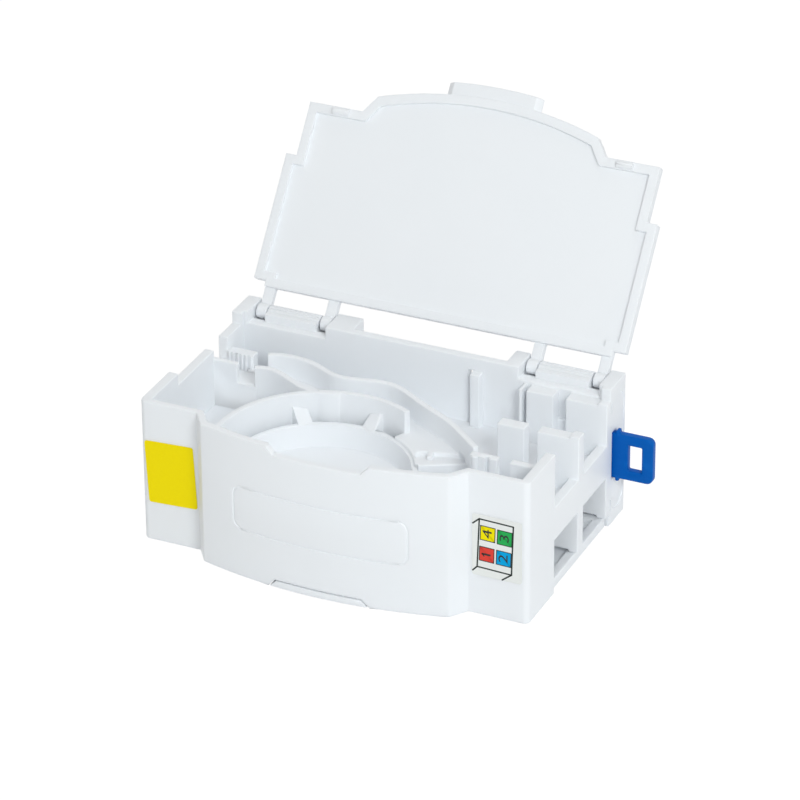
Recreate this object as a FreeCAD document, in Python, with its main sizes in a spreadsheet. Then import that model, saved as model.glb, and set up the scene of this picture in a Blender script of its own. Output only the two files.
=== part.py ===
import FreeCAD, Part
import math
import os
import re

import Sketcher

Vector = FreeCAD.Vector
doc = FreeCAD.newDocument("din_fibre_box")

# Driving sizes, in millimetres and degrees. The rail seat is y = 0 and mid-height is z = 0.
sizes = (
    # Housing
    ("body_length", 96.0),
    ("body_height", 36.0),
    ("shoulder_depth", 51.0),
    ("flank_depth", 5.6),
    ("side_wall", 2.4),
    ("front_wall", 1.8),
    ("rear_wall", 2.2),
    ("deck_plate", 2.0),
    ("corner_round", 1.5),
    ("nose_base", 67.0),
    ("nose_run", 3.0),
    ("nose_step", 4.2),
    ("nose_bulge", 4.2),
    ("frame_width", 43.5),
    ("frame_height", 11.5),
    ("frame_round", 2.6),
    ("frame_line", 0.5),
    ("frame_depth", 0.2),
    # Lid and its seat
    ("lid_plate", 1.5),
    ("lid_rim", 1.1),
    ("rim_width", 2.2),
    ("lid_gap", 0.4),
    ("lid_sink", 0.2),
    ("lid_rest", 0.2),
    ("lid_side_inset", 0.8),
    ("lid_rear_gap", 0.6),
    ("seat_start", 15.0),
    ("block_width", 3.5),
    ("block_reach", 3.6),
    ("lid_open", 127.5),
    ("lid_front_gap", 1.1),
    ("lid_nose_gap", 1.1),
    ("tongue_width", 24.2),
    ("tongue_slant", 1.6),
    ("tongue_proud", 0.3),
    ("nub_radius", 0.9),
    ("nub_length", 4.0),
    ("nub_inset", 7.5),
    # Hinges
    ("hinge_back", 3.0),
    ("hinge_drop", 2.0),
    ("knuckle_radius", 1.8),
    ("knuckle_air", 0.4),
    ("pin_radius", 0.9),
    ("pin_play", 0.05),
    ("pin_length", 1.8),
    ("arm_width", 2.6),
    ("arm_gap", 0.4),
    ("barrel_length", 13.2),
    ("pedestal_width", 2.4),
    ("stop_gap", 0.2),
    ("flute_radius", 0.3),
    ("cheek_depth", 1.4),
    ("cheek_drop", 1.0),
    # Rail seat, hook and clip
    ("rail_width", 35.0),
    ("rail_lip", 1.0),
    ("rail_play", 0.5),
    ("hook_reach", 1.6),
    ("hook_depth", 2.4),
    ("hook_height", 20.0),
    ("clip_room", 2.8),
    ("clip_front", 1.2),
    ("clip_thick", 2.0),
    ("clip_height", 11.6),
    ("clip_drop", 0.35),
    ("clip_gap", 0.3),
    ("clip_travel", 5.0),
    ("clip_bite", 1.6),
    ("clip_nose", 8.0),
    ("clip_nose_depth", 2.4),
    ("clip_reach", 9.6),
    ("clip_round", 1.6),
    ("collar_length", 0.9),
    ("collar_lip", 0.8),
    ("hole_offset", 3.4),
    ("hole_width", 3.4),
    ("hole_height", 6.6),
    ("channel_wall", 1.6),
    ("core_skin", 1.6),
    ("recess_radius", 3.7),
    ("recess_height", 30.0),
    ("recess_back", 1.2),
    ("recess_depth", 0.3),
    ("slit_width", 0.5),
    ("slit_height", 6.2),
    ("slit_depth", 0.8),
    # Adapter bays
    ("rear_post", 3.4),
    ("window_sill", 4.2),
    ("mid_post", 3.2),
    ("slot_inset", 10.3),
    ("flange_slot", 3.1),
    ("post_length", 6.7),
    ("rib_width", 0.8),
    ("rib_gap", 1.1),
    ("groove_place", 3.8),
    ("groove_width", 0.9),
    ("bead_place", 1.4),
    ("bead_radius", 0.75),
    ("bay_front", 2.0),
    ("bay_drop", 3.6),
    # Winding tray
    ("drum_left", 5.8),
    ("drum_set_in", 6.2),
    ("ring_radius", 25.5),
    ("ring_wall", 1.5),
    ("ring_start", 61.6),
    ("ring_sweep", 138.0),
    ("bowl_radius", 22.0),
    ("bowl_wall", 1.4),
    ("bowl_draft", 0.6),
    ("bowl_height", 6.6),
    ("tray_floor", 7.4),
    ("tray_plate", 1.6),
    ("tray_top", 13.0),
    ("route_wall", 1.5),
    ("floor_angle", 25.5),
    ("gusset_width", 3.5),
    ("gusset_drop", 2.7),
    ("gusset_splay", 17.0),
    ("finger_slot_length", 12.2),
    ("finger_slot_width", 3.6),
    ("finger_slot_depth", 1.0),
    ("finger_slot_turn", 12.0),
    ("finger_slot_right", 23.5),
    ("finger_slot_behind", 14.6),
    ("finger_width", 1.3),
    ("finger_length", 2.4),
    # Cable entry
    ("entry_front", 33.3),
    ("entry_width", 6.9),
    ("entry_sill", 9.0),
    ("gate_start", 8.5),
    ("gate_width", 4.3),
    ("gate_height", 8.0),
    ("grip_length", 6.6),
    ("grip_depth", 2.6),
    ("grip_height", 11.5),
    ("grip_rib", 0.5),
    # Rear wall details
    ("rear_slot", 1.2),
    ("rear_slot_place", 12.0),
    ("rear_rib_width", 2.4),
    ("rear_rib_reach", 2.0),
    ("rear_rib_drop", 3.2),
    # Stickers
    ("sticker", 0.15),
    ("sticker_round", 0.6),
    ("yellow_height", 15.9),
    ("yellow_rise", 0.3),
    ("yellow_inset", 1.4),
    ("yellow_gap", 0.8),
    ("yellow_turn", 2.8),
    ("ports_height", 15.6),
    ("ports_inset", 1.6),
    ("ports_gap", 0.9),
)
names = {alias for alias, amount in sizes}
sheet = doc.addObject("Spreadsheet::Sheet", "dims")
for row, (alias, amount) in enumerate(sizes, start=1):
    sheet.set(f"A{row}", alias.replace("_", " "))
    sheet.set(f"B{row}", str(amount))
    sheet.setAlias(f"B{row}", alias)
doc.recompute()


def bound(expression):
    def place(word):
        return "dims." + word.group() if word.group() in names else word.group()
    return re.sub(r"[a-z][a-z_0-9]*", place, expression)


def amount_of(expression):
    return float(sheet.evalExpression(bound(expression)))


# Places that several pieces share
half_length = "body_length / 2"
top = "body_height / 2"
inner_side = "(body_length / 2 - side_wall)"
lid_top = "(body_height / 2 - lid_sink)"
lid_under = "(body_height / 2 - lid_sink - lid_plate - lid_rim)"
seat_level = "(body_height / 2 - lid_sink - lid_plate - lid_rim - lid_rest)"
tongue_under = "(body_height / 2 - lid_sink - lid_plate)"
seat_front = "(seat_start - shoulder_depth)"
nose_tip = "(-(shoulder_depth + nose_step + nose_bulge))"
left_ear = "(-(rail_width / 2 + rail_play))"
right_ear = "(rail_width / 2 + rail_play + clip_room)"
hinge_level = "(body_height / 2 - hinge_drop)"
pocket_level = "(body_height / 2 - hinge_drop - knuckle_radius - knuckle_air)"
pocket_front = "(hinge_back - knuckle_radius - knuckle_air)"
block_edge = "(body_length / 2 - block_width)"
hinge_span = "(4 * arm_gap + 2 * arm_width + barrel_length)"
drum_x = "(-drum_left)"
drum_y = "(drum_set_in - shoulder_depth)"
window_width = "((shoulder_depth - seat_start - rear_wall - rear_post - mid_post) / 2)"
post_start = "(body_length / 2 - slot_inset - flange_slot - post_length)"
spill = 1


def slab(name, plane, corners, low, high, arcs=None):
    # A closed outline on one of the main planes, padded from low to high
    arcs = arcs or {}
    body = doc.addObject("PartDesign::Body", name)
    sketch = body.newObject("Sketcher::SketchObject", name + "_outline")
    datum = next(item for item in body.Origin.OriginFeatures if item.Role == plane)
    sketch.AttachmentSupport = [(datum, "")]
    sketch.MapMode = "FlatFace"
    start = f"-({high})" if plane == "XZ_Plane" else low
    sketch.setExpression("AttachmentOffset.Base.z", bound(start))
    points = [Vector(amount_of(u), amount_of(v), 0) for u, v in corners]
    ends = []
    for index, first in enumerate(points):
        last = points[(index + 1) % len(points)]
        if index in arcs:
            ends.append(add_arc(sketch, first, last, arcs[index]))
        else:
            line = sketch.addGeometry(Part.LineSegment(first, last))
            ends.append((line, 1, 2))
    for index, (u, v) in enumerate(corners):
        edge, near, far = ends[index]
        following = ends[(index + 1) % len(ends)]
        sketch.addConstraint(Sketcher.Constraint("Coincident", edge, far, following[0], following[1]))
        for kind, axis, expression in (("DistanceX", -2, u), ("DistanceY", -1, v)):
            if expression == "0":
                sketch.addConstraint(Sketcher.Constraint("PointOnObject", edge, near, axis))
                continue
            label = f"{kind}_{index}"
            rule = Sketcher.Constraint(kind, -1, 1, edge, near, amount_of(expression))
            sketch.renameConstraint(sketch.addConstraint(rule), label)
            sketch.setExpression("Constraints." + label, bound(expression))
    pad = body.newObject("PartDesign::Pad", name + "_pad")
    pad.Profile = sketch
    pad.setExpression("Length", bound(f"({high}) - ({low})"))
    return body


def add_arc(sketch, first, last, radius):
    # A counter-clockwise arc from first to last that bulges away from the outline's inside, or a half circle
    chord = last - first
    size = amount_of(radius) if radius else chord.Length / 2
    rise = math.sqrt(size ** 2 - (chord.Length / 2) ** 2)
    inward = Vector(-chord.y, chord.x, 0).normalize()
    centre = (first + last) * 0.5 + inward * rise
    begin = math.atan2(first.y - centre.y, first.x - centre.x)
    finish = math.atan2(last.y - centre.y, last.x - centre.x)
    if finish < begin:
        finish += 2 * math.pi
    arc = sketch.addGeometry(Part.ArcOfCircle(Part.Circle(centre, Vector(0, 0, 1), size), begin, finish))
    if radius:
        rule = sketch.addConstraint(Sketcher.Constraint("Radius", arc, size))
        sketch.renameConstraint(rule, f"Radius_{arc}")
        sketch.setExpression(f"Constraints.Radius_{arc}", bound(radius))
    else:
        sketch.addConstraint(Sketcher.Constraint("Symmetric", arc, 1, arc, 2, arc, 3))
    return arc, 1, 2


def block(name, x, y, z):
    box = doc.addObject("Part::Box", name)
    for side, axis, (low, high) in (("Length", "x", x), ("Width", "y", y), ("Height", "z", z)):
        box.setExpression(side, bound(f"({high}) - ({low})"))
        box.setExpression("Placement.Base." + axis, bound(str(low)))
    return box


def rod(name, radius, x, y, z):
    # A cylinder that lies along X
    bar = doc.addObject("Part::Cylinder", name)
    bar.Placement = FreeCAD.Placement(Vector(), FreeCAD.Rotation(Vector(0, 1, 0), 90))
    bar.setExpression("Radius", bound(radius))
    bar.setExpression("Height", bound(f"({x[1]}) - ({x[0]})"))
    for axis, place in (("x", x[0]), ("y", y), ("z", z)):
        bar.setExpression("Placement.Base." + axis, bound(place))
    return bar


def disc(name, radius, low, high, turn=None, sweep=None):
    # A cylinder about the drum's axis, or a sector of one
    drum = doc.addObject("Part::Cylinder", name)
    drum.setExpression("Radius", bound(radius))
    drum.setExpression("Height", bound(f"({high}) - ({low})"))
    if sweep:
        drum.Placement = FreeCAD.Placement(Vector(), FreeCAD.Rotation(Vector(0, 0, 1), 1))
        drum.setExpression("Angle", bound(sweep))
        drum.setExpression("Placement.Rotation.Angle", bound(turn))
    for axis, place in (("x", drum_x), ("y", drum_y), ("z", low)):
        drum.setExpression("Placement.Base." + axis, bound(place))
    return drum


def joined(name, pieces):
    fuse = doc.addObject("Part::MultiFuse", name)
    fuse.Shapes = pieces
    fuse.Refine = True
    return fuse


def without(name, base, tools):
    cut = doc.addObject("Part::Cut", name)
    cut.Base = base
    cut.Tool = tools[0] if len(tools) == 1 else joined(name + "_tools", tools)
    cut.Refine = True
    return cut


def shared(name, first, second):
    common = doc.addObject("Part::Common", name)
    common.Base = first
    common.Tool = second
    common.Refine = True
    return common


def flipped(low, high, side):
    # A span on the positive side, or its mirror image
    return (low, high) if side > 0 else (f"-({high})", f"-({low})")


def front_corners(inset, side, beside="0"):
    # Shoulders and bowed nose, moved inwards from the outer face by inset
    shift = f"(({inset}) * (sqrt(nose_run^2 + nose_step^2) - nose_run) / nose_step + {beside})"
    root = f"(nose_base / 2 - {shift})"
    edge = f"(nose_base / 2 - nose_run - {shift})"
    shoulder = f"(({inset}) - shoulder_depth)"
    cheek = f"(({inset}) - shoulder_depth - nose_step)"
    radius = f"({edge}^2 + nose_bulge^2) / (2 * nose_bulge)"
    left = [(f"-({side})", shoulder), (f"-{root}", shoulder), (f"-{edge}", cheek)]
    right = [(edge, cheek), (root, shoulder), (side, shoulder)]
    return left + right, {2: radius}


# Housing shell: outer block less an upper and a lower cavity, with the deck left between them
corners, bow = front_corners("0", half_length)
corners += [(half_length, "flank_depth"), (right_ear, "flank_depth"), (right_ear, "0"),
            (left_ear, "0"), (left_ear, "flank_depth"), (f"-{half_length}", "flank_depth")]
outer_block = slab("outer_block", "XY_Plane", corners, f"-{top}", top, bow)
doc.recompute()
pad = outer_block.Tip
upright = []
for number, edge in enumerate(pad.Shape.Edges, start=1):
    middle = edge.CenterOfMass
    corner = Vector(abs(middle.x) - amount_of(half_length), middle.y + amount_of("shoulder_depth"), middle.z)
    if corner.Length < 0.01:
        upright.append(f"Edge{number}")
rounding = outer_block.newObject("PartDesign::Fillet", "front_corner_rounds")
rounding.Base = (pad, upright)
rounding.setExpression("Radius", bound("corner_round"))
outer_block.Tip = rounding

corners, bow = front_corners("front_wall", inner_side)
corners += [(inner_side, "-rear_wall"), (f"-{inner_side}", "-rear_wall")]
cavities = []
for level, side in (("upper", 1), ("lower", -1)):
    low, high = flipped("deck_plate / 2", f"{top} + {spill}", side)
    cavities.append(slab(level + "_cavity", "XY_Plane", corners, low, high, bow))


# Cuts that repeat above and below the deck
def level_cuts(level, side):
    cuts = []
    past_top = f"{top} + {spill}"
    past_rear = f"flank_depth + {spill}"
    seat = flipped(seat_level, past_top, side)
    past_end = f"{half_length} + {spill}"
    cuts.append(block(level + "_seat", (f"-({past_end})", past_end), (seat_front, "-block_reach"), seat))
    for hand, way in (("left", -1), ("right", 1)):
        x = flipped(f"{block_edge} - {hinge_span}", block_edge, way)
        cuts.append(block(f"{level}_{hand}_ledge", x, (f"-rear_wall - {spill}", f"{pocket_front} + {spill}"), seat))
        deep = flipped(pocket_level, past_top, side)
        cuts.append(block(f"{level}_{hand}_hinge_pocket", x, (pocket_front, past_rear), deep))
    for bay in (0, 1):
        start = f"{seat_front} + {bay} * ({window_width} + mid_post)"
        z = flipped("window_sill", past_top, side)
        x = (f"{inner_side} - {spill}", past_end)
        cuts.append(block(f"{level}_window_{bay}", x, (start, f"{start} + {window_width}"), z))
    entry = "(entry_front - shoulder_depth)"
    x = (f"-({past_end})", f"-({inner_side} - {spill})")
    z = flipped("entry_sill", past_top, side)
    cuts.append(block(level + "_cable_entry", x, (entry, f"{entry} + entry_width"), z))
    wide = "(tongue_width / 2 + lid_gap)"
    narrow = "(tongue_width / 2 + lid_gap - tongue_slant)"
    foot = f"({tongue_under} - lid_rest)"
    notch = [(f"-{narrow}", foot), (narrow, foot), (narrow, tongue_under), (wide, lid_top), (wide, past_top),
             (f"-{wide}", past_top), (f"-{wide}", lid_top), (f"-{narrow}", tongue_under)]
    if side < 0:
        notch = [(u, f"-({v})") for u, v in reversed(notch)]
    reach = (f"{nose_tip} - {spill}", f"{nose_tip} + front_wall + {spill}")
    cuts.append(slab(level + "_tongue_notch", "XZ_Plane", notch, *reach))
    z = flipped("deck_plate / 2", f"{top} - rear_rib_drop", side)
    x = ("rear_slot_place", "rear_slot_place + rear_slot")
    cuts.append(block(level + "_rear_slot", x, (f"-rear_wall - {spill}", f"{spill}"), z))
    return cuts


cuts = cavities + level_cuts("upper", 1) + level_cuts("lower", -1)

# Clip channel through the right flank, with room for the clip's nose to draw back
plate_z = ("(-clip_height / 2 - clip_drop)", "(clip_height / 2 - clip_drop)")
channel_z = (f"{plate_z[0]} - clip_gap", f"{plate_z[1]} + clip_gap")
channel_front = "(-clip_front - clip_gap)"
nose_start = "(rail_width / 2 - clip_bite)"
nose_front = "(rail_lip + clip_gap)"
nose_rear = "(rail_lip + clip_gap + clip_nose_depth)"
cuts.append(block("clip_channel", (f"{right_ear} - {spill}", f"{half_length} + {spill}"),
                  (channel_front, "clip_thick - clip_front + clip_gap"), channel_z))
cuts.append(block("clip_nose_room", (f"{right_ear} - {spill}", f"{nose_start} + clip_nose + clip_travel + clip_gap"),
                  (channel_front, f"{nose_rear} + clip_gap"), channel_z))
cuts.append(block("left_flank_core", flipped(f"{block_edge} - {hinge_span}", block_edge, -1),
                  ("core_skin", f"flank_depth + {spill}"), channel_z))


# Shallow recess with round ends about the clip, and a slit beside it at each end
recess_end = "(recess_height / 2 - recess_radius)"
recess_plan = [("recess_back + recess_radius", f"-{recess_end}"), ("recess_back + recess_radius", recess_end),
               ("recess_back - recess_radius", recess_end), ("recess_back - recess_radius", f"-{recess_end}")]
cuts.append(slab("clip_recess", "YZ_Plane", recess_plan, f"{half_length} - recess_depth", f"{half_length} + {spill}",
                 {1: None, 3: None}))
for level, side in (("upper", 1), ("lower", -1)):
    slit_foot = "(clip_height / 2 + clip_gap + channel_wall)"
    cuts.append(block(level + "_slit", (f"{half_length} - recess_depth - slit_depth", f"{half_length} + {spill}"),
                      ("recess_back - recess_radius - slit_width", "recess_back - recess_radius"),
                      flipped(slit_foot, f"{slit_foot} + slit_height", side)))


# Engraved line frame on the nose
def rounded_plan(width, height, turn):
    half = f"(({width}) / 2)"
    rise = f"(({height}) / 2)"
    plan = [(f"-{half} + {turn}", f"-{rise}"), (f"{half} - {turn}", f"-{rise}"), (half, f"-{rise} + {turn}"),
            (half, f"{rise} - {turn}"), (f"{half} - {turn}", rise), (f"-{half} + {turn}", rise),
            (f"-{half}", f"{rise} - {turn}"), (f"-{half}", f"-{rise} + {turn}")]
    return plan, {1: turn, 3: turn, 5: turn, 7: turn}


frame_reach = (f"{nose_tip} - {spill}", "-shoulder_depth")
plan, turns = rounded_plan("frame_width", "frame_height", "frame_round")
frame_outer = slab("frame_outer", "XZ_Plane", plan, *frame_reach, turns)
plan, turns = rounded_plan("frame_width - 2 * frame_line", "frame_height - 2 * frame_line",
                           "(frame_round - frame_line)")
frame_inner = slab("frame_inner", "XZ_Plane", plan, f"{nose_tip} - 2 * {spill}", f"-shoulder_depth + {spill}", turns)
corners, bow = front_corners("frame_depth", f"({half_length} - frame_depth)")
corners += [(f"{half_length} - frame_depth", "0"), (f"-({half_length} - frame_depth)", "0")]
frame_core = slab("frame_core", "XY_Plane", corners, f"-{top}", top, bow)
cuts.append(without("frame_groove", frame_outer, [frame_inner, frame_core]))


# Drum, trough and bowl of the winding tray
def curve_through(points):
    curve = Part.BSplineCurve()
    curve.interpolate(points)
    return curve


def ribbon(points, thickness):
    # The flat band of even width along a route
    spine = curve_through(points)
    edges = []
    for side in (1, -1):
        shifted = []
        for point in points:
            tangent = spine.tangent(spine.parameter(point))[0]
            shifted.append(point + Vector(-tangent.y, tangent.x, 0) * (side * thickness / 2))
        edges.append(curve_through(shifted))
    left, right = edges
    ends = [Part.makeLine(left.StartPoint, right.StartPoint), Part.makeLine(left.EndPoint, right.EndPoint)]
    return Part.Face(Part.Wire(Part.__sortEdges__([left.toShape(), right.toShape()] + ends)))


def raised(name, face, low, high):
    piece = doc.addObject("Part::Feature", name)
    face.translate(Vector(0, 0, amount_of(low)))
    piece.Shape = face.extrude(Vector(0, 0, amount_of(high) - amount_of(low)))
    return piece


ring_middle = amount_of("ring_radius - ring_wall / 2")
ring_join = [Vector(ring_middle * math.cos(math.radians(turn)), ring_middle * math.sin(math.radians(turn)), 0)
             for turn in (116, 104)]
gate_end = "(-(body_length / 2 - gate_start - gate_width))"


def route(share_points, first, last):
    # Points as shares of the way from first to last along X, and as ring radii behind the drum's axis
    begin = amount_of(first)
    reach = amount_of(last) - begin
    radius = amount_of("ring_radius")
    return [Vector(begin + share * reach, amount_of(drum_y) + behind * radius, 0) for share, behind in share_points]


drum_centre = Vector(amount_of(drum_x), amount_of(drum_y), 0)
inner_route = route([(0, 1.063), (0.2, 1.09), (0.496, 1.004), (0.766, 0.902)], gate_end,
                    f"{drum_x} - 0.43 * ring_radius")
inner_route += [drum_centre + point for point in ring_join]
outer_route = route([(0, 1.333), (0.1, 1.384), (0.195, 1.333), (0.308, 1.212), (0.42, 1.251), (0.516, 1.263),
                     (0.66, 1.0745), (0.82, 0.843), (0.945, 0.584), (0.985, 0.502)], gate_end, post_start)
deck_under = "-deck_plate / 2"
inner_wall = raised("inner_route_wall", ribbon(inner_route, amount_of("route_wall")), deck_under, "tray_top")
outer_wall = raised("outer_route_wall", ribbon(outer_route, amount_of("route_wall")), deck_under, "tray_top")

entry_wall = -amount_of(inner_side)
lip_turn = math.radians(amount_of("floor_angle"))
lip_radius = amount_of("bowl_radius")
floor_lip = drum_centre + Vector(lip_radius * math.cos(lip_turn), lip_radius * math.sin(lip_turn), 0)
floor_route = outer_route[:-1]
corner_path = [floor_route[-1], floor_lip, drum_centre, inner_route[-1]]
entry_path = [inner_route[0], Vector(entry_wall, inner_route[0].y, 0), Vector(entry_wall, outer_route[0].y, 0),
              outer_route[0]]
floor_edges = [curve_through(floor_route).toShape(), curve_through(inner_route).toShape()]
for path in (corner_path, entry_path):
    floor_edges += [Part.makeLine(first, last) for first, last in zip(path, path[1:])]
floor_face = Part.Face(Part.Wire(Part.__sortEdges__(floor_edges)))
floor_under = "(tray_floor - tray_plate)"
floor_blank = raised("floor_blank", floor_face.copy(), floor_under, "tray_floor")
hollow_blank = raised("hollow_blank", floor_face.copy(), f"{deck_under} - {spill}", floor_under)
drum_core = disc("drum_core", "ring_radius - ring_wall / 2", f"{deck_under} - {spill}", "tray_top")
channel_floor = without("channel_floor", floor_blank, [drum_core])
floor_hollow = without("floor_hollow", hollow_blank, [drum_core])
apron_disc = disc("apron_disc", "ring_radius", floor_under, "tray_floor", "floor_angle", "ring_start - floor_angle + 1")
bowl_core = disc("bowl_core", "bowl_radius - bowl_wall / 2", f"{floor_under} - {spill}", f"tray_floor + {spill}")
apron = without("apron", apron_disc, [bowl_core])

ring_disc = disc("ring_disc", "ring_radius", deck_under, "tray_top", "ring_start", "ring_sweep")
ring_core = disc("ring_core", "ring_radius - ring_wall", f"{deck_under} - {spill}", f"tray_top + {spill}")
ring = without("ring", ring_disc, [ring_core])
bowl_disc = disc("bowl_disc", "bowl_radius", "0", "bowl_height")
bowl_hollow = doc.addObject("Part::Cone", "bowl_hollow")
bowl_hollow.setExpression("Radius1", bound("bowl_radius - bowl_wall - bowl_draft"))
bowl_hollow.setExpression("Radius2", bound("bowl_radius - bowl_wall"))
bowl_hollow.setExpression("Height", bound("bowl_height - deck_plate / 2"))
for axis, place in (("x", drum_x), ("y", drum_y), ("z", "deck_plate / 2")):
    bowl_hollow.setExpression("Placement.Base." + axis, bound(place))
bowl = without("bowl", bowl_disc, [bowl_hollow])

# Sloped webs across the trough, splayed away from each other
trough_out = "(ring_radius - ring_wall / 2)"
trough_in = "(bowl_radius - bowl_wall / 2)"
trough_middle = f"(({trough_out} + {trough_in}) / 2)"
web_half = f"(({trough_out} - {trough_in}) / 2 / cos(gusset_splay * 1 deg))"
gussets = []
for number, (turn, way) in enumerate(((125.5, 1), (83.0, -1))):
    slope = [(f"-{web_half}", "0"), (web_half, "0"), (web_half, "tray_top - gusset_drop"),
             (f"-{web_half}", "bowl_height")]
    gusset = slab(f"gusset_{number}", "XZ_Plane", slope, "-gusset_width / 2", "gusset_width / 2")
    gusset.Placement = FreeCAD.Placement(Vector(), FreeCAD.Rotation(Vector(0, 0, 1), turn))
    gusset.setExpression("Placement.Rotation.Angle", bound(f"{turn} + {way} * gusset_splay"))
    angle = math.radians(turn)
    gusset.setExpression("Placement.Base.x", bound(f"{drum_x} + {trough_middle} * {math.cos(angle):.4f}"))
    gusset.setExpression("Placement.Base.y", bound(f"{drum_y} + {trough_middle} * {math.sin(angle):.4f}"))
    gussets.append(gusset)

front_skirt = raised("front_skirt", ribbon([floor_lip, (floor_lip + floor_route[-1]) * 0.5, floor_route[-1]],
                                           amount_of("route_wall")), deck_under, "tray_floor")
tray_blank = joined("tray_blank", [ring, bowl, apron, channel_floor, inner_wall, outer_wall, front_skirt] + gussets)
middle_side = f"({half_length} - side_wall / 2)"
corners, bow = front_corners("front_wall / 2", middle_side)
corners += [(middle_side, "-rear_wall / 2"), (f"-{middle_side}", "-rear_wall / 2")]
tray_limit = slab("tray_limit", "XY_Plane", corners, f"-{top}", top, bow)
tray = shared("tray", tray_blank, tray_limit)

# Cable entry: partition, low gates and the ribbed grip block
partition_line = f"({inner_route[0].y:.3f})"
grip_line = f"({outer_route[0].y:.3f})"
gate_from = "(-(body_length / 2 - gate_start))"
gate_to = f"({gate_end} + route_wall / 2)"
wall_start = f"(-{half_length} + side_wall / 2)"
across = (f"{partition_line} - route_wall / 2", f"{partition_line} + route_wall / 2")
entry_parts = [
    block("partition", (wall_start, gate_from), across, (deck_under, "tray_top")),
    block("front_gate", (gate_from, gate_to), across, (deck_under, "gate_height")),
    block("grip_block", (wall_start, f"{wall_start} + side_wall / 2 + grip_length"),
          (grip_line, f"{grip_line} + grip_depth"), (deck_under, "grip_height")),
    block("rear_gate", (f"{wall_start} + grip_length", gate_to),
          (f"{grip_line} - route_wall / 2", f"{grip_line} + route_wall / 2"), (deck_under, "gate_height")),
]
for number in range(6):
    place = f"(-{inner_side} + {number} * grip_length / 6 + grip_rib / 2)"
    entry_parts.append(block(f"grip_rib_{number}", (place, f"{place} + grip_rib"),
                             (f"{grip_line} - grip_rib", f"{grip_line} + grip_rib"), (deck_under, "grip_height")))


# Adapter bays: three rows of posts and walls with the flange slots between them
def bay_rows(level, side):
    slot_end = f"({half_length} - slot_inset)"
    slot_start = f"({half_length} - slot_inset - flange_slot)"
    post = (post_start, slot_start)
    wall = (slot_end, f"{inner_side} + side_wall / 2")
    mid = f"({seat_front} + {window_width})"
    rear = "(-rear_wall - rear_post)"
    rows = (("front", f"{seat_front} - bay_front", seat_front), ("mid", mid, f"{mid} + mid_post"),
            ("rear", rear, f"({channel_front} - rear_wall) / 2"))
    z = flipped("0", f"{top} - bay_drop", side)
    parts = []
    for row, near, far in rows:
        for kind, x in (("post", post), ("wall", wall)):
            parts.append(block(f"{level}_{row}_{kind}", x, (near, far), z))
    side_rib = (f"{post_start} - rib_gap - rib_width", f"{post_start} - rib_gap")
    parts.append(block(level + "_bay_rib", side_rib, rows[2][1:], z))
    bead = doc.addObject("Part::Cylinder", level + "_bay_bead")
    bead.setExpression("Radius", bound("bead_radius"))
    bead.setExpression("Height", bound(f"({z[1]}) - ({z[0]})"))
    for axis, place in (("x", f"{post_start} + bead_place"), ("y", f"{seat_front} - bay_front"), ("z", z[0])):
        bead.setExpression("Placement.Base." + axis, bound(place))
    parts.append(bead)
    rib = ("rear_slot_place + rear_slot", "rear_slot_place + rear_slot + rear_rib_width")
    parts.append(block(level + "_rear_rib", rib, ("-rear_wall - rear_rib_reach", "-rear_wall / 2"),
                       flipped("0", f"{top} - rear_rib_drop", side)))
    return parts


# Hinge barrels on their pedestals, with a sloped stop behind each lid arm
arm_outer = (f"{block_edge} - arm_gap - arm_width", f"{block_edge} - arm_gap")
barrel_x = (f"{block_edge} - 2 * arm_gap - arm_width - barrel_length", f"{block_edge} - 2 * arm_gap - arm_width")
arm_inner = (f"{block_edge} - {hinge_span} + arm_gap", f"{block_edge} - {hinge_span} + arm_gap + arm_width")


def hinge_parts(level, side):
    parts = []
    bores = []
    z = f"{side} * {hinge_level}"
    for hand, way in (("left", -1), ("right", 1)):
        x = flipped(*barrel_x, way)
        mark = f"{level}_{hand}"
        barrel = rod(mark + "_barrel", "knuckle_radius", x, "hinge_back", z)
        grooves = []
        for number, turn in enumerate((25, 60, 95, 130)):
            angle = math.radians(turn)
            away = f"hinge_back - knuckle_radius * {math.cos(angle):.4f}"
            rise = f"{side} * ({hinge_level} + knuckle_radius * {math.sin(angle):.4f})"
            grooves.append(rod(f"{mark}_flute_{number}", "flute_radius", x, away, rise))
        parts.append(without(mark + "_fluted_barrel", barrel, grooves))
        parts.append(block(mark + "_pedestal", x,
                           ("hinge_back - pedestal_width / 2", "hinge_back + pedestal_width / 2"),
                           flipped(f"{pocket_level} - {spill}", f"{hinge_level} - pin_radius", side)))
        parts.append(block(mark + "_cheek", x, ("hinge_back - knuckle_radius - cheek_depth", "hinge_back"),
                           flipped(f"{pocket_level} - {spill}", f"{top} - cheek_drop", side)))
        bores.append(rod(mark + "_pin_bore", "pin_radius + pin_play",
                         (f"{x[0]} - {spill}", f"{x[1]} + {spill}"), "hinge_back", z))
        face = "(knuckle_radius + stop_gap)"
        foot = (f"hinge_back + ({face} - ({pocket_level} - {hinge_level} - {spill}) * cos(lid_open * 1 deg))"
                " / sin(lid_open * 1 deg)")
        peak = f"{hinge_level} + ({face} - (flank_depth - hinge_back) * sin(lid_open * 1 deg)) / cos(lid_open * 1 deg)"
        wedge = [(foot, f"{pocket_level} - {spill}"), ("flank_depth", f"{pocket_level} - {spill}"),
                 ("flank_depth", peak)]
        if side < 0:
            wedge = [(u, f"-({v})") for u, v in reversed(wedge)]
        for arm, span in (("outer", arm_outer), ("inner", arm_inner)):
            low, high = flipped(f"{span[0]} - arm_gap", f"{span[1]} + arm_gap", way)
            parts.append(slab(f"{mark}_{arm}_stop", "YZ_Plane", wedge, low, high))
    return parts, bores


additions = list(entry_parts)
bores = []
for level, side in (("upper", 1), ("lower", -1)):
    additions += bay_rows(level, side)
    parts, holes = hinge_parts(level, side)
    additions += parts
    bores += holes

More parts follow.
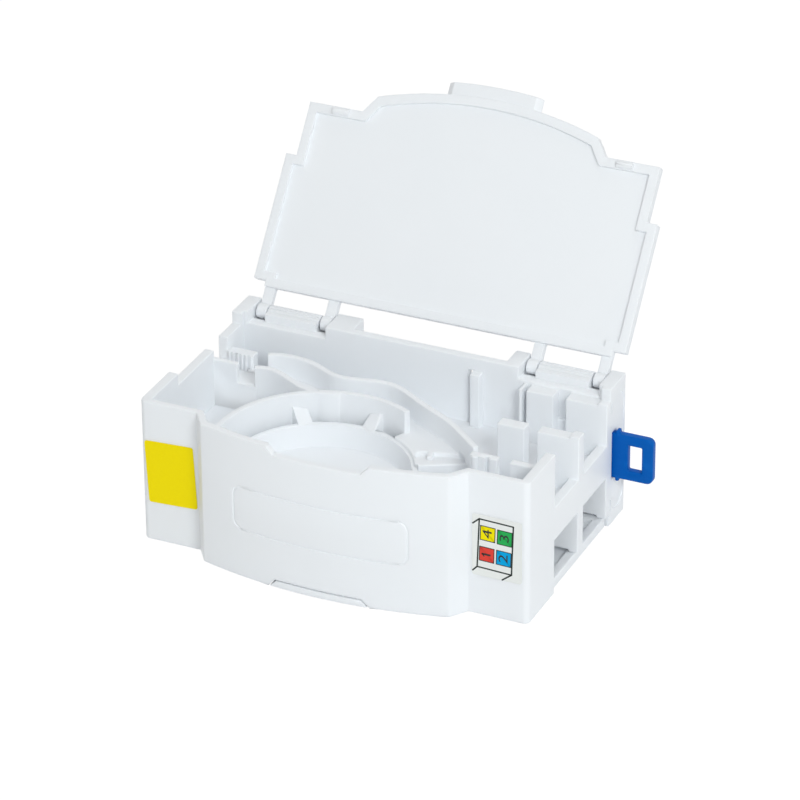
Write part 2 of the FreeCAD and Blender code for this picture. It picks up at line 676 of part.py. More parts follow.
# Fixed rail hook with its lead-in slope, and the wall in front of the clip channel
hook_tip = f"({left_ear} + rail_play + hook_reach)"
hook = [(f"{left_ear} - {spill}", nose_front), (hook_tip, nose_front), (hook_tip, f"{nose_front} + hook_depth / 3"),
        (left_ear, f"{nose_front} + hook_depth"), (f"{left_ear} - {spill}", f"{nose_front} + hook_depth")]
additions.append(slab("rail_hook", "XY_Plane", hook, "-hook_height / 2", "hook_height / 2"))
additions.append(block("channel_front_wall", (f"{post_start} - rib_gap - rib_width", f"{inner_side} + side_wall / 2"),
                       (f"{channel_front} - channel_wall", channel_front),
                       (f"{channel_z[0]} - channel_wall", f"{channel_z[1]} + channel_wall")))

# Pocket in the tray floor beside the drum, with a finger across part of it
straight = "((finger_slot_length - finger_slot_width) / 2)"
half_slot = "(finger_slot_width / 2)"
slot_z = ("tray_floor - finger_slot_depth", f"tray_floor + {spill}")
slot_plan = [(f"-{straight}", f"-{half_slot}"), (straight, f"-{half_slot}"), (straight, half_slot),
             (f"-{straight}", half_slot)]
slot_blank = slab("slot_blank", "XY_Plane", slot_plan, *slot_z, {1: None, 3: None})
finger = block("finger", (f"-{straight} / 2 - finger_width", f"-{straight} / 2"),
               (f"{half_slot} - finger_length", f"{half_slot} + {spill}"), slot_z)
finger_slot = without("finger_slot", slot_blank, [finger])
doc.recompute()
slot_tool = doc.addObject("Part::Feature", "slot_tool")
slot_tool.Shape = finger_slot.Shape
slot_place = Vector(amount_of(f"{drum_x} + finger_slot_right"), amount_of(f"{drum_y} + finger_slot_behind"), 0)
slot_tool.Placement = FreeCAD.Placement(slot_place, FreeCAD.Rotation(Vector(0, 0, 1), amount_of("finger_slot_turn")))
bores.append(slot_tool)

# Groove on the front post row
for level, side in (("upper", 1), ("lower", -1)):
    groove_x = f"({post_start} + groove_place)"
    bores.append(block(level + "_post_groove", (groove_x, f"{groove_x} + groove_width"),
                       (f"{seat_front} - bay_front - {spill}", f"{seat_front} - bay_front + groove_width"),
                       flipped("deck_plate / 2", f"{top} - bay_drop + {spill}", side)))

carved = without("carved_shell", outer_block, cuts + [floor_hollow])
filled = joined("filled_shell", [carved] + additions)
trayed = joined("trayed_shell", [filled, tray])
base_body = without("base_body", trayed, bores)


# Lid, drawn closed on the upper side
def lid_outline(inset):
    side = f"({inner_side} - lid_front_gap - ({inset}))"
    wide = f"({half_length} - lid_side_inset - ({inset}))"
    step = f"({seat_front} + lid_front_gap + ({inset}))"
    heel = f"(-block_reach - lid_rear_gap - ({inset}))"
    lobe = f"({block_edge} - lid_gap - ({inset}))"
    rear = f"(-rear_wall - lid_rear_gap - ({inset}))"
    corners, bow = front_corners(f"front_wall + lid_front_gap + ({inset})", side, "lid_nose_gap")
    corners += [(side, step), (wide, step), (wide, heel), (lobe, heel), (lobe, rear), (f"-{lobe}", rear),
                (f"-{lobe}", heel), (f"-{wide}", heel), (f"-{wide}", step), (f"-{side}", step)]
    return corners, bow


corners, bow = lid_outline("0")
lid_blank = slab("lid_blank", "XY_Plane", corners, lid_under, lid_top, bow)
corners, bow = lid_outline("rim_width")
lid_field = slab("lid_field", "XY_Plane", corners, f"{lid_under} - {spill}", f"{lid_under} + lid_rim", bow)
lid_panel = without("lid_panel", lid_blank, [lid_field])

nose_radius = "(((nose_base / 2 - nose_run)^2 + nose_bulge^2) / (2 * nose_bulge))"
tongue_half = "(tongue_width / 2)"
tongue_front = f"({nose_tip} + {nose_radius} - sqrt(({nose_radius} + tongue_proud)^2 - {tongue_half}^2))"
tongue_root = f"({nose_tip} + front_wall + lid_front_gap + rim_width / 2)"
plan = [(f"-{tongue_half}", tongue_front), (tongue_half, tongue_front), (tongue_half, tongue_root),
        (f"-{tongue_half}", tongue_root)]
tongue_plan = slab("tongue_plan", "XY_Plane", plan, tongue_under, lid_top, {0: f"{nose_radius} + tongue_proud"})
narrow = f"({tongue_half} - tongue_slant)"
ends = [(f"-{narrow}", tongue_under), (narrow, tongue_under), (tongue_half, lid_top), (f"-{tongue_half}", lid_top)]
tongue_ends = slab("tongue_ends", "XZ_Plane", ends, f"{nose_tip} - {spill}", f"{tongue_root} + {spill}")
lid_parts = [lid_panel, shared("tongue", tongue_plan, tongue_ends)]

for hand, way in (("left", -1), ("right", 1)):
    for arm, span, pin in (("outer", arm_outer, (f"{arm_outer[0]} - pin_length", arm_outer[0])),
                           ("inner", arm_inner, (arm_inner[1], f"{arm_inner[1]} + pin_length"))):
        mark = f"lid_{hand}_{arm}"
        x = flipped(*span, way)
        lid_parts.append(block(mark + "_arm", x, ("-rear_wall - lid_rear_gap - rim_width / 2", "hinge_back"),
                               (hinge_level, lid_top)))
        lid_parts.append(rod(mark + "_knuckle", "knuckle_radius", x, "hinge_back", hinge_level))
        overlap = flipped(f"{pin[0]} - pin_play", f"{pin[1]} + pin_play", way)
        lid_parts.append(rod(mark + "_pin", "pin_radius", overlap, "hinge_back", hinge_level))
    nub_end = f"({inner_side} - nub_inset)"
    lid_parts.append(rod(f"lid_{hand}_nub", "nub_radius", flipped(f"{nub_end} - nub_length", nub_end, way),
                         "front_wall + lid_front_gap + rim_width / 2 - shoulder_depth", lid_under))
lid_moulding = joined("lid_moulding", lid_parts)

# Rail clip: plate, pull tab with its hole, stop collar and hooked nose
collar = f"({half_length} + clip_gap)"
tab_end = f"({half_length} + clip_reach)"
plate_y = ("-clip_front", "clip_thick - clip_front")
hook_root = f"({right_ear} + clip_gap)"
plate = block("clip_plate", (hook_root, tab_end), plate_y, plate_z)
rounded = doc.addObject("Part::Fillet", "clip_rounds")
rounded.Base = plate
nose_end = f"({nose_start} + clip_nose)"
nose_plan = [(nose_start, nose_front), (hook_root, nose_front), (hook_root, "-clip_front"), (nose_end, "-clip_front"),
             (nose_end, nose_rear), (f"{nose_start} + clip_nose_depth", nose_rear),
             (nose_start, f"{nose_front} + clip_nose_depth / 3")]
clip_nose = slab("clip_hook", "XY_Plane", nose_plan, *plate_z)
clip_collar = block("clip_collar", (collar, f"{collar} + collar_length"), plate_y,
                    (f"{plate_z[0]} - collar_lip", f"{plate_z[1]} + collar_lip"))
hole_x = f"({half_length} + hole_offset)"
clip_hole = block("clip_hole", (hole_x, f"{hole_x} + hole_width"),
                  (f"-clip_front - {spill}", f"clip_thick - clip_front + {spill}"),
                  ("-hole_height / 2 - clip_drop", "hole_height / 2 - clip_drop"))
doc.recompute()
tab_edges = []
for number, edge in enumerate(plate.Shape.Edges, start=1):
    along_y = abs(edge.tangentAt(edge.FirstParameter).y) > 0.99
    if along_y and abs(edge.CenterOfMass.x - amount_of(tab_end)) < 0.01:
        tab_edges.append((number, amount_of("clip_round"), amount_of("clip_round")))
rounded.Edges = tab_edges
din_clip = without("din_clip", joined("clip_blank", [rounded, clip_nose, clip_collar]), [clip_hole])

# Stickers on the two shoulders, the yellow one laid a little askew
shoulder = "((body_length - nose_base) / 2)"
front_face = ("-shoulder_depth - sticker", "-shoulder_depth")
yellow_width = f"({shoulder} - yellow_inset - yellow_gap)"
plan, turns = rounded_plan(yellow_width, "yellow_height", "sticker_round")
yellow_label = slab("yellow_label", "XZ_Plane", plan, *front_face, turns)
yellow_label.Placement = FreeCAD.Placement(Vector(), FreeCAD.Rotation(Vector(0, -1, 0), 1))
yellow_label.setExpression("Placement.Rotation.Angle", bound("yellow_turn"))
yellow_label.setExpression("Placement.Base.x", bound(f"-{half_length} + yellow_inset + {yellow_width} / 2"))
yellow_label.setExpression("Placement.Base.z", bound("yellow_rise"))
ports_width = f"({shoulder} - ports_inset - ports_gap)"
plan, turns = rounded_plan(ports_width, "ports_height", "sticker_round")
port_label = slab("port_label", "XZ_Plane", plan, *front_face, turns)
port_label.setExpression("Placement.Base.x", bound(f"{half_length} - ports_inset - {ports_width} / 2"))
doc.recompute()


# Both lids are one moulding: the upper one turned open, the lower one turned over and closed
def placed(name, placement):
    node = doc.addObject("Part::Feature", name)
    node.Shape = lid_moulding.Shape
    node.Placement = placement
    return node


axis_point = Vector(0, amount_of("hinge_back"), amount_of(hinge_level))
swing = FreeCAD.Rotation(Vector(-1, 0, 0), amount_of("lid_open"))
upper_lid = placed("upper_lid", FreeCAD.Placement(axis_point - swing.multVec(axis_point), swing))
lower_lid = placed("lower_lid", FreeCAD.Placement(Vector(), FreeCAD.Rotation(Vector(0, 1, 0), 180)))
doc.recompute()

for item in doc.Objects:
    if "Invalid" in item.State or "Error" in item.State:
        raise RuntimeError(f"{item.Name}: {item.State}")

os.makedirs("parts", exist_ok=True)
for node in (base_body, upper_lid, lower_lid, din_clip, port_label, yellow_label):
    if node.Shape.isNull() or not node.Shape.isValid():
        raise RuntimeError(f"{node.Label} has no valid shape")
    print(node.Label, len(node.Shape.Solids), len(node.Shape.Faces), round(node.Shape.Volume, 1), node.Shape.BoundBox)
    node.Shape.exportStep(f"parts/{node.Label}.step")
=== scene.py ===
import math

import bmesh
import bpy
from mathutils import Matrix, Quaternion, Vector, kdtree


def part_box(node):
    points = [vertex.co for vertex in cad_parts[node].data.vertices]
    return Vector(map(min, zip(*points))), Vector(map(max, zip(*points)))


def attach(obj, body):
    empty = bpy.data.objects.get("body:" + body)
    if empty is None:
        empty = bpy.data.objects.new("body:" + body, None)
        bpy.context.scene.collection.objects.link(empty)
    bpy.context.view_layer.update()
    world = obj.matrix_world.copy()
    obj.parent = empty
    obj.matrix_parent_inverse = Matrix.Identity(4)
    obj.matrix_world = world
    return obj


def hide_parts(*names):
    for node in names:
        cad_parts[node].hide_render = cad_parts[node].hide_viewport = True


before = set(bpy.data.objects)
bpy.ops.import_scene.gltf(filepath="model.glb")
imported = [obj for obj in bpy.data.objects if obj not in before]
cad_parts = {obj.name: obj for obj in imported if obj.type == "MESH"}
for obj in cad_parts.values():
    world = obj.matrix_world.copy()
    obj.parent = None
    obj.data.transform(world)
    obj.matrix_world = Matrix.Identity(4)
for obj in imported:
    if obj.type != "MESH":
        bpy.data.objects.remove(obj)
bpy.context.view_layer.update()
mm = 0.001
print("frame loaded:", ", ".join(sorted(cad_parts)))


def linear(hexColour):
    parts = [int(hexColour[i:i + 2], 16) / 255 for i in (0, 2, 4)]
    return [c / 12.92 if c <= 0.04045 else ((c + 0.055) / 1.055) ** 2.4 for c in parts] + [1.0]


def addNode(tree, kind, settings=None, links=None):
    # A setting is one of the node's own properties, or else a socket by its name or number
    node = tree.nodes.new(kind)
    for name, value in (settings or {}).items():
        if isinstance(name, str) and name in node.bl_rna.properties:
            setattr(node, name, value)
        else:
            node.inputs[name].default_value = value
    for name, source in (links or {}).items():
        tree.links.new(source, node.inputs[name])
    return node


def newMaterial(name):
    material = bpy.data.materials.new(name)
    material.use_nodes = True
    return material, material.node_tree, material.node_tree.nodes["Principled BSDF"]


def addNoise(tree, place, sizeMm, detail, fade=0.5):
    settings = {"Scale": 1 / (sizeMm * mm), "Detail": detail, "Roughness": fade}
    return addNode(tree, "ShaderNodeTexNoise", settings, {"Vector": place}).outputs["Fac"]


def addRange(tree, value, span, ends):
    settings = {"From Min": span[0], "From Max": span[1], "To Min": ends[0], "To Max": ends[1]}
    return addNode(tree, "ShaderNodeMapRange", settings, {"Value": value}).outputs["Result"]


def addTint(tree, shader, share, colour, otherColour):
    # A colour mix has its two colours on sockets 6 and 7, and the mixed one on output 2
    settings = {"data_type": "RGBA", 6: linear(colour), 7: linear(otherColour)}
    mix = addNode(tree, "ShaderNodeMix", settings, {0: share})
    tree.links.new(mix.outputs[2], shader.inputs["Base Color"])


def addBump(tree, shader, height, share, depthMm):
    bump = addNode(tree, "ShaderNodeBump", {"Strength": share, "Distance": depthMm * mm}, {"Height": height})
    tree.links.new(bump.outputs["Normal"], shader.inputs["Normal"])


fullSpan = (0.0, 1.0)

# Injection moulded ABS: a cool white with faint flow clouds that carries some light through its thin walls,
# and a spark-eroded grain that spreads highlights. The real grain is about 0.05 mm, and it is drawn coarser
# so that it shows.
absLook = {
    "name": "mouldedWhiteAbs", "colour": "f5f8fb", "cloudColour": "f2f5f9", "ior": 1.53,
    "cloudMm": 26.0, "cloudDetail": 3.0, "cloudFade": 0.45,
    "carried": 0.4, "carriedMm": 1.5, "carriedSpread": (1, 1, 1),
    "grainMm": 0.4, "grainDetail": 2.0, "grainSpan": (0.3, 0.7), "grainDepthMm": 0.006, "grainShare": 0.25,
    "roughness": (0.36, 0.5),
}


def makeAbs(look):
    material, tree, shader = newMaterial(look["name"])
    place = addNode(tree, "ShaderNodeTexCoord").outputs["Object"]
    cloud = addNoise(tree, place, look["cloudMm"], look["cloudDetail"], look["cloudFade"])
    addTint(tree, shader, cloud, look["colour"], look["cloudColour"])
    grain = addNoise(tree, place, look["grainMm"], look["grainDetail"])
    gloss = addRange(tree, grain, look["grainSpan"], look["roughness"])
    tree.links.new(gloss, shader.inputs["Roughness"])
    addBump(tree, shader, grain, look["grainShare"], look["grainDepthMm"])
    shader.inputs["IOR"].default_value = look["ior"]
    shader.inputs["Subsurface Weight"].default_value = look["carried"]
    shader.inputs["Subsurface Radius"].default_value = look["carriedSpread"]
    shader.inputs["Subsurface Scale"].default_value = look["carriedMm"] * mm
    return material


# Moulded nylon: deep blue, smoother than the housing, with slightly paler scuffs where fingers pull it
nylonLook = {
    "name": "mouldedBlueNylon", "colour": "005cb4", "scuffColour": "0466be", "ior": 1.53, "sheen": 0.08,
    "scuffMm": 3.5, "scuffDetail": 5.0, "scuffFade": 0.65, "scuffSpan": (0.5, 0.8),
    "grainMm": 0.5, "grainDetail": 2.0, "grainDepthMm": 0.008, "grainShare": 0.3,
    "roughness": (0.3, 0.44),
}


def makeNylon(look):
    material, tree, shader = newMaterial(look["name"])
    place = addNode(tree, "ShaderNodeTexCoord").outputs["Object"]
    scuff = addNoise(tree, place, look["scuffMm"], look["scuffDetail"], look["scuffFade"])
    share = addRange(tree, scuff, look["scuffSpan"], fullSpan)
    addTint(tree, shader, share, look["colour"], look["scuffColour"])
    gloss = addRange(tree, scuff, fullSpan, look["roughness"])
    tree.links.new(gloss, shader.inputs["Roughness"])
    grain = addNoise(tree, place, look["grainMm"], look["grainDetail"])
    addBump(tree, shader, grain, look["grainShare"], look["grainDepthMm"])
    shader.inputs["IOR"].default_value = look["ior"]
    shader.inputs["Specular IOR Level"].default_value = look["sheen"]
    return material


# Coated vinyl film and the inks on it: even colour with a little screen mottle under a thin clear coat
filmLooks = {
    "whiteVinylFilm": {"colour": "f0f1ee", "mottle": "ebede9"},
    "yellowVinylFilm": {"colour": "fee900", "mottle": "f9e200"},
    "yellowInk": {"colour": "fbec00", "mottle": "f3e200"},
    "greenInk": {"colour": "2fb45a", "mottle": "2aa852"},
    "redInk": {"colour": "e94b40", "mottle": "e04338"},
    "blueInk": {"colour": "00aae6", "mottle": "00a1dc"},
    "blackInk": {"colour": "3b423f", "mottle": "323836"},
}
filmFinish = {
    "mottleMm": 0.8, "mottleDetail": 3.0, "roughness": (0.28, 0.4),
    "sheen": 0.08, "coat": 0.02, "coatRoughness": 0.15,
    "waveMm": 6.0, "waveDetail": 1.0, "waveDepthMm": 0.03, "waveShare": 0.4,
}


def makeFilm(name, look, finish):
    material, tree, shader = newMaterial(name)
    place = addNode(tree, "ShaderNodeTexCoord").outputs["Object"]
    mottle = addNoise(tree, place, finish["mottleMm"], finish["mottleDetail"])
    addTint(tree, shader, mottle, look["colour"], look["mottle"])
    gloss = addRange(tree, mottle, fullSpan, finish["roughness"])
    tree.links.new(gloss, shader.inputs["Roughness"])
    wave = addNoise(tree, place, finish["waveMm"], finish["waveDetail"])
    addBump(tree, shader, wave, finish["waveShare"], finish["waveDepthMm"])
    shader.inputs["Specular IOR Level"].default_value = finish["sheen"]
    shader.inputs["Coat Weight"].default_value = finish["coat"]
    shader.inputs["Coat Roughness"].default_value = finish["coatRoughness"]
    return material


whiteAbs = makeAbs(absLook)
blueNylon = makeNylon(nylonLook)
films = {name: makeFilm(name, look, filmFinish) for name, look in filmLooks.items()}
print("materials made:", len(bpy.data.materials))


# Each moulding is the CAD node with its edges rounded, as a tool leaves them
mouldings = {
    "base_body": {"name": "housing", "body": "base", "slot": "white_abs",
                  "material": whiteAbs, "roundMm": 0.28},
    "upper_lid": {"name": "upperCover", "body": "upper_lid", "slot": "white_abs",
                  "material": whiteAbs, "roundMm": 0.18},
    "lower_lid": {"name": "lowerCover", "body": "lower_lid", "slot": "white_abs",
                  "material": whiteAbs, "roundMm": 0.18},
    "din_clip": {"name": "railClip", "body": "clip", "slot": "blue_plastic",
                 "material": blueNylon, "roundMm": 0.35},
}
# Shares are of the rounding's width or of a neighbouring edge's length, and the reach is in widths
edgeCare = {
    "mergeMm": 0.002, "flatDegrees": 0.4, "sharpDegrees": 34.0, "smoothDegrees": 40.0,
    "segments": 2, "mostSides": 4,
    "vCosine": 0.9, "shareInV": 0.1, "besideCosine": 0.8, "shareOfNeighbour": 0.42,
    "foldDegrees": 150.0, "easeReach": 1.6, "easeBy": 0.5, "leastShare": 0.2, "easeTries": 20,
}


def weighEdges(piece, width):
    # Full weight on sharp edges, less where a short edge beside them leaves no room for the rounding
    mesh = bmesh.from_edit_mesh(piece.data)
    weights = mesh.edges.layers.float.new("bevel_weight_edge")
    sharp = math.radians(edgeCare["sharpDegrees"])
    count = 0
    for edge in mesh.edges:
        if len(edge.link_faces) != 2 or edge.calc_face_angle(0) < sharp:
            continue
        room = width
        for vert in edge.verts:
            along = (edge.other_vert(vert).co - vert.co).normalized()
            for other in vert.link_edges:
                if other is edge or len(other.link_faces) != 2:
                    continue
                away = other.other_vert(vert).co - vert.co
                beside = away.normalized().dot(along)
                # A narrow V between sharp edges, as where a wall runs into the drum's ring
                if beside > edgeCare["vCosine"] and other.calc_face_angle(0) > sharp:
                    room = min(room, width * edgeCare["shareInV"])
                elif abs(beside) < edgeCare["besideCosine"]:
                    room = min(room, away.length * edgeCare["shareOfNeighbour"])
        edge[weights] = room / width
        count += 1
    bmesh.update_edit_mesh(piece.data)
    return count


def easeFolds(piece, width):
    # The rounding is tried out, and made smaller round each spot where it would fold over itself
    fold = math.radians(edgeCare["foldDegrees"])
    reach = width * edgeCare["easeReach"]
    weights = piece.data.attributes["bevel_weight_edge"].data
    corners = kdtree.KDTree(len(piece.data.vertices))
    for vert in piece.data.vertices:
        corners.insert(vert.co, vert.index)
    corners.balance()
    edgesAt = {vert.index: [] for vert in piece.data.vertices}
    for edge in piece.data.edges:
        for vert in edge.vertices:
            edgesAt[vert].append(edge.index)
    for attempt in range(edgeCare["easeTries"]):
        trial = bmesh.new()
        trial.from_object(piece, bpy.context.evaluated_depsgraph_get())
        manySided = [face for face in trial.faces if len(face.verts) > edgeCare["mostSides"]]
        bmesh.ops.triangulate(trial, faces=manySided)
        near = set()
        for edge in trial.edges:
            if len(edge.link_faces) == 2 and edge.calc_face_angle(0) > fold:
                for vert in edge.verts:
                    near.update(found[1] for found in corners.find_range(vert.co, reach))
        trial.free()
        eased = {edge for vert in near for edge in edgesAt[vert] if weights[edge].value > 0}
        if not eased:
            return attempt
        for edge in eased:
            smaller = weights[edge].value * edgeCare["easeBy"]
            weights[edge].value = smaller if smaller > edgeCare["leastShare"] else 0
        piece.data.update()
    return edgeCare["easeTries"]


def roundedMoulding(node, look):
    piece = bpy.data.objects.new(look["name"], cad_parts[node].data.copy())
    bpy.context.scene.collection.objects.link(piece)
    bpy.ops.object.select_all(action="DESELECT")
    piece.select_set(True)
    bpy.context.view_layer.objects.active = piece
    bpy.ops.object.mode_set(mode="EDIT")
    bpy.ops.mesh.select_all(action="SELECT")
    bpy.ops.mesh.remove_doubles(threshold=edgeCare["mergeMm"] * mm)
    bpy.ops.mesh.dissolve_limited(angle_limit=math.radians(edgeCare["flatDegrees"]))
    edges = weighEdges(piece, look["roundMm"] * mm)
    bpy.ops.object.mode_set(mode="OBJECT")
    bevel = piece.modifiers.new("rounds", "BEVEL")
    bevel.limit_method = "WEIGHT"
    bevel.width = look["roundMm"] * mm
    bevel.segments = edgeCare["segments"]
    bevel.use_clamp_overlap = False
    bevel.loop_slide = False
    eased = easeFolds(piece, bevel.width)
    bpy.ops.object.modifier_apply(modifier=bevel.name)
    # Faces with more than four sides become triangles, as they did in the trials
    bpy.ops.object.mode_set(mode="EDIT")
    bpy.ops.mesh.select_mode(type="FACE")
    bpy.ops.mesh.select_all(action="DESELECT")
    bpy.ops.mesh.select_face_by_sides(number=edgeCare["mostSides"], type="GREATER")
    bpy.ops.mesh.quads_convert_to_tris(ngon_method="BEAUTY")
    bpy.ops.object.mode_set(mode="OBJECT")
    bpy.ops.object.shade_smooth_by_angle(angle=math.radians(edgeCare["smoothDegrees"]))
    normals = piece.modifiers.new("evenNormals", "WEIGHTED_NORMAL")
    normals.keep_sharp = True
    bpy.ops.object.modifier_apply(modifier=normals.name)
    piece.data.materials.clear()
    piece.data.materials.append(look["material"])
    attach(piece, look["body"])
    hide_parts(node)
    print("moulding", look["name"], "sharp edges", edges, "times eased", eased,
          "faces", len(piece.data.polygons))


for node, look in mouldings.items():
    roundedMoulding(node, look)

# The two stickers keep their CAD solids
for node, film in (("port_label", "whiteVinylFilm"), ("yellow_label", "yellowVinylFilm")):
    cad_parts[node].data.materials.clear()
    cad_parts[node].data.materials.append(films[film])
print("stickers coloured")

# Print on the port label, in degrees and in millimetres across the shoulder face: x to the right, z up
portPrint = {
    "squares": {"four": ((38.18, 3.3), "yellowInk", "4"), "three": ((42.28, 3.1), "greenInk", "3"),
                "one": ((37.95, -2.05), "redInk", "1"), "two": ((42.05, -2.15), "blueInk", "2")},
    "inkMm": 0.012, "cornerSteps": 3,
    "squareMm": (3.72, 3.8), "squareTurn": -1.5, "outlineMm": 0.22, "cornerMm": 0.12,
    "digitMm": 3.2, "digitTurn": 90.0, "digitWiden": 1.5, "digitSteps": 6,
    "flag": ((-0.5, 0.66), (0.04, 1.02)), "flagMm": 0.3,
    "lineMm": 0.36, "strokeCorner": 0.3,
    "lines": [((36.15, 6.75), (44.35, 6.5)), ((44.35, 6.5), (43.95, -5.9)), ((43.95, -5.9), (35.65, -5.6)),
              ((35.65, -5.6), (36.15, 6.75)), ((36.15, 6.75), (34.6, 5.35)), ((35.65, -5.6), (34.6, -6.75)),
              ((43.95, -5.9), (41.75, -7.65))],
}
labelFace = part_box("port_label")[0].y
toFace = Matrix(((1, 0, 0), (0, 0, -1), (0, 1, 0))).to_4x4()


def laidOnFace(piece, centre, turn, lift):
    # From flat on the ground plane to upright on the shoulder, at its place
    place = Matrix.Translation((centre[0] * mm, labelFace - lift * mm, centre[1] * mm))
    piece.data.transform(place @ toFace @ Matrix.Rotation(math.radians(turn), 4, "Z"))
    piece.data.update()


def finishPrint(piece, name):
    piece.name = name
    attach(piece, "base")


def inkPatch(size, corner):
    bpy.ops.object.select_all(action="DESELECT")
    bpy.ops.mesh.primitive_plane_add(size=1)
    piece = bpy.context.object
    bpy.ops.object.mode_set(mode="EDIT")
    bpy.ops.mesh.select_all(action="SELECT")
    bpy.ops.transform.resize(value=(size[0] * mm, size[1] * mm, 1))
    bpy.ops.mesh.bevel(offset=corner * mm, segments=portPrint["cornerSteps"], affect="VERTICES")
    bpy.ops.object.mode_set(mode="OBJECT")
    return piece


def stroke(start, end, width):
    # A pen stroke on the ground plane
    run = Vector(end) - Vector(start)
    middle = (Vector(start) + Vector(end)) / 2 * mm
    piece = inkPatch((run.length + width, width), width * portPrint["strokeCorner"])
    turn = Matrix.Rotation(math.atan2(run.y, run.x), 4, "Z")
    piece.data.transform(Matrix.Translation(middle.to_3d()) @ turn)
    return piece


def joined(pieces):
    bpy.ops.object.select_all(action="DESELECT")
    for piece in pieces:
        piece.select_set(True)
    bpy.context.view_layer.objects.active = pieces[0]
    bpy.ops.object.join()
    return bpy.context.object


def thicken(piece):
    layer = piece.modifiers.new("inkLayer", "SOLIDIFY")
    layer.thickness = portPrint["inkMm"] * mm
    layer.offset = 1
    bpy.context.view_layer.objects.active = piece
    bpy.ops.object.modifier_apply(modifier=layer.name)


def portSquare(word, centre, ink):
    # A field of colour inside a black outline
    piece = inkPatch(portPrint["squareMm"], portPrint["cornerMm"])
    bpy.ops.object.mode_set(mode="EDIT")
    bpy.ops.mesh.select_all(action="SELECT")
    bpy.ops.mesh.inset(thickness=portPrint["outlineMm"] * mm, depth=0)
    bpy.ops.object.mode_set(mode="OBJECT")
    piece.data.materials.append(films[ink])
    piece.data.materials.append(films["blackInk"])
    field = max(piece.data.polygons, key=lambda face: face.area).index
    for face in piece.data.polygons:
        face.material_index = 0 if face.index == field else 1
    thicken(piece)
    laidOnFace(piece, centre, portPrint["squareTurn"], 0)
    finishPrint(piece, word + "Square")


def portDigit(word, centre, digit):
    bpy.ops.object.select_all(action="DESELECT")
    bpy.ops.object.text_add()
    text = bpy.context.object.data
    text.body = digit
    text.size = portPrint["digitMm"] * mm
    text.align_x = "CENTER"
    text.align_y = "CENTER"
    text.resolution_u = portPrint["digitSteps"]
    bpy.ops.object.convert(target="MESH")
    piece = bpy.context.object
    piece.data.transform(Matrix.Diagonal((portPrint["digitWiden"], 1, 1, 1)))
    if digit == "1":  # the font's figure is a bare bar, so it gets a flag
        piece = joined([piece, stroke(*portPrint["flag"], portPrint["flagMm"])])
    thicken(piece)
    laidOnFace(piece, centre, portPrint["digitTurn"], portPrint["inkMm"])
    piece.data.materials.append(films["blackInk"])
    finishPrint(piece, word + "Digit")


def portLines():
    strokes = []
    for start, end in portPrint["lines"]:
        piece = stroke(start, end, portPrint["lineMm"])
        thicken(piece)
        laidOnFace(piece, (0, 0), 0, 0)
        strokes.append(piece)
    piece = joined(strokes)
    piece.data.materials.append(films["blackInk"])
    finishPrint(piece, "portLines")


for word, (centre, ink, digit) in portPrint["squares"].items():
    portSquare(word, centre, ink)
    portDigit(word, centre, digit)
portLines()
print("label print laid")

# Studio: a white sweep that reads as paper to the camera, and soft light from the right and from above.
# A lamp is its name, place and width in metres, and power in watts. The floor's height is in millimetres.
studio = {
    "floorZ": -18.02, "floorSize": 8.0, "floorColour": "f4f5f6", "paper": 0.8, "paperGlow": 1.13,
    "white": (1, 1, 1, 1), "ambient": 0.53, "backdrop": 1.0, "lampTint": "f8fdff",
    "lamps": [("keyRight", (0.568, -0.609, 0.574), 0.3, 4.0), ("overhead", (0.1, 0.484, 1.3), 0.8, 1.35)],
}


def seenRays(tree):
    # One for camera, mirrored and see-through rays, and none for the rays that light other surfaces
    path = addNode(tree, "ShaderNodeLightPath").outputs
    pair = addNode(tree, "ShaderNodeMath", {"operation": "MAXIMUM"},
                   {0: path["Is Camera Ray"], 1: path["Is Glossy Ray"]})
    return addNode(tree, "ShaderNodeMath", {"operation": "MAXIMUM"},
                   {0: pair.outputs[0], 1: path["Is Transmission Ray"]}).outputs[0]


def addMix(tree, share, first, second, output):
    mixed = addNode(tree, "ShaderNodeMixShader", {}, {0: share, 1: first.outputs[0], 2: second.outputs[0]})
    tree.links.new(mixed.outputs[0], tree.nodes[output].inputs["Surface"])


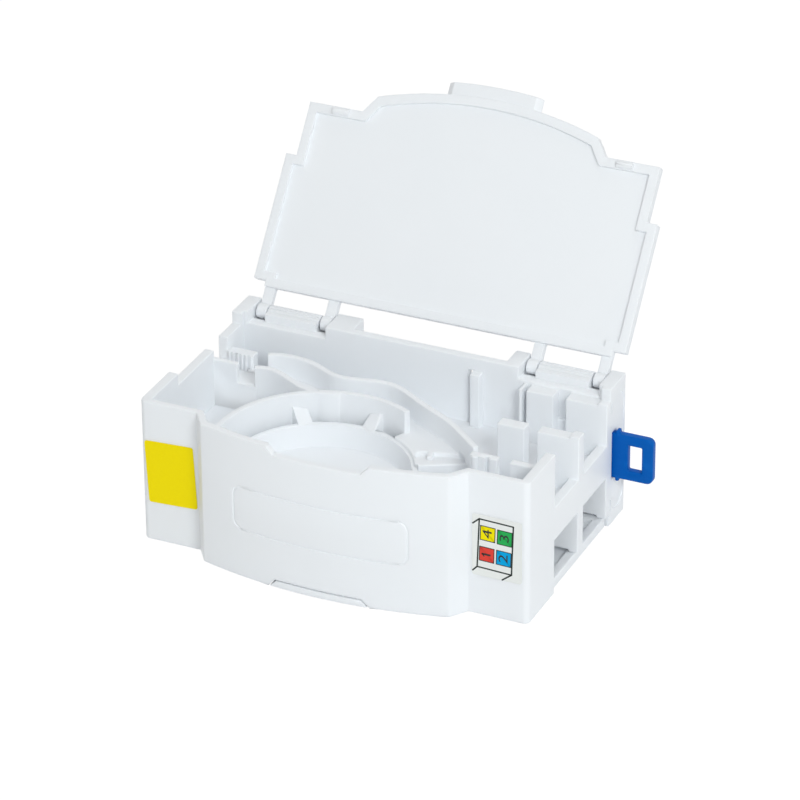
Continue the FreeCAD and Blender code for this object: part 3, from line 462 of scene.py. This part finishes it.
def makeFloor():
    bpy.ops.object.select_all(action="DESELECT")
    bpy.ops.mesh.primitive_plane_add(size=studio["floorSize"], location=(0, 0, studio["floorZ"] * mm))
    floor = bpy.context.object
    floor.name = "floor"
    material, tree, shader = newMaterial("whitePaperSweep")
    tree.nodes.remove(shader)
    paper = addNode(tree, "ShaderNodeBsdfDiffuse", {"Color": linear(studio["floorColour"])})
    glow = addNode(tree, "ShaderNodeEmission", {"Color": studio["white"], "Strength": studio["paperGlow"]})
    share = addNode(tree, "ShaderNodeMath", {"operation": "MULTIPLY", 1: studio["paper"]},
                    {0: seenRays(tree)}).outputs[0]
    addMix(tree, share, paper, glow, "Material Output")
    floor.data.materials.append(material)


def makeWorld():
    world = bpy.data.worlds.new("whiteRoom")
    world.use_nodes = True
    tree = world.node_tree
    tree.nodes.remove(tree.nodes["Background"])
    ambient = addNode(tree, "ShaderNodeBackground",
                      {"Color": studio["white"], "Strength": studio["ambient"]})
    backdrop = addNode(tree, "ShaderNodeBackground",
                       {"Color": studio["white"], "Strength": studio["backdrop"]})
    addMix(tree, seenRays(tree), ambient, backdrop, "World Output")
    bpy.context.scene.world = world


def makeLamps():
    for name, place, size, power in studio["lamps"]:
        lamp = bpy.data.lights.new(name, "AREA")
        lamp.shape = "DISK"
        lamp.size = size
        lamp.energy = power
        lamp.color = linear(studio["lampTint"])[:3]
        holder = bpy.data.objects.new(name, lamp)
        holder.location = place
        holder.rotation_euler = Vector(place).to_track_quat("Z", "Y").to_euler()
        bpy.context.scene.collection.objects.link(holder)


makeFloor()
makeWorld()
makeLamps()
print("studio lit")

# The photograph's viewpoint: angles in degrees, distance and sight in metres, the rest in millimetres
viewpoint = {
    "azimuth": 24.65, "elevation": 28.72, "roll": -0.44, "distance": 1.0667, "sight": 20.0,
    "lens": 209.26, "sensor": 36.0, "aim": (0.814, -15.662, 11.07),
}


def makeCamera():
    turn, rise = math.radians(viewpoint["azimuth"]), math.radians(viewpoint["elevation"])
    back = Vector((math.sin(turn) * math.cos(rise), -math.cos(turn) * math.cos(rise), math.sin(rise)))
    lens = bpy.data.cameras.new("camera")
    lens.sensor_width = viewpoint["sensor"]
    lens.lens = viewpoint["lens"]
    lens.clip_end = viewpoint["sight"]
    camera = bpy.data.objects.new("camera", lens)
    camera.location = Vector(viewpoint["aim"]) * mm + back * viewpoint["distance"]
    level = back.to_track_quat("Z", "Y")
    camera.rotation_euler = (level @ Quaternion((0, 0, 1), math.radians(viewpoint["roll"]))).to_euler()
    bpy.context.scene.collection.objects.link(camera)
    bpy.context.scene.camera = camera


makeCamera()
bpy.context.scene.view_settings.view_transform = "Standard"
print("camera placed")
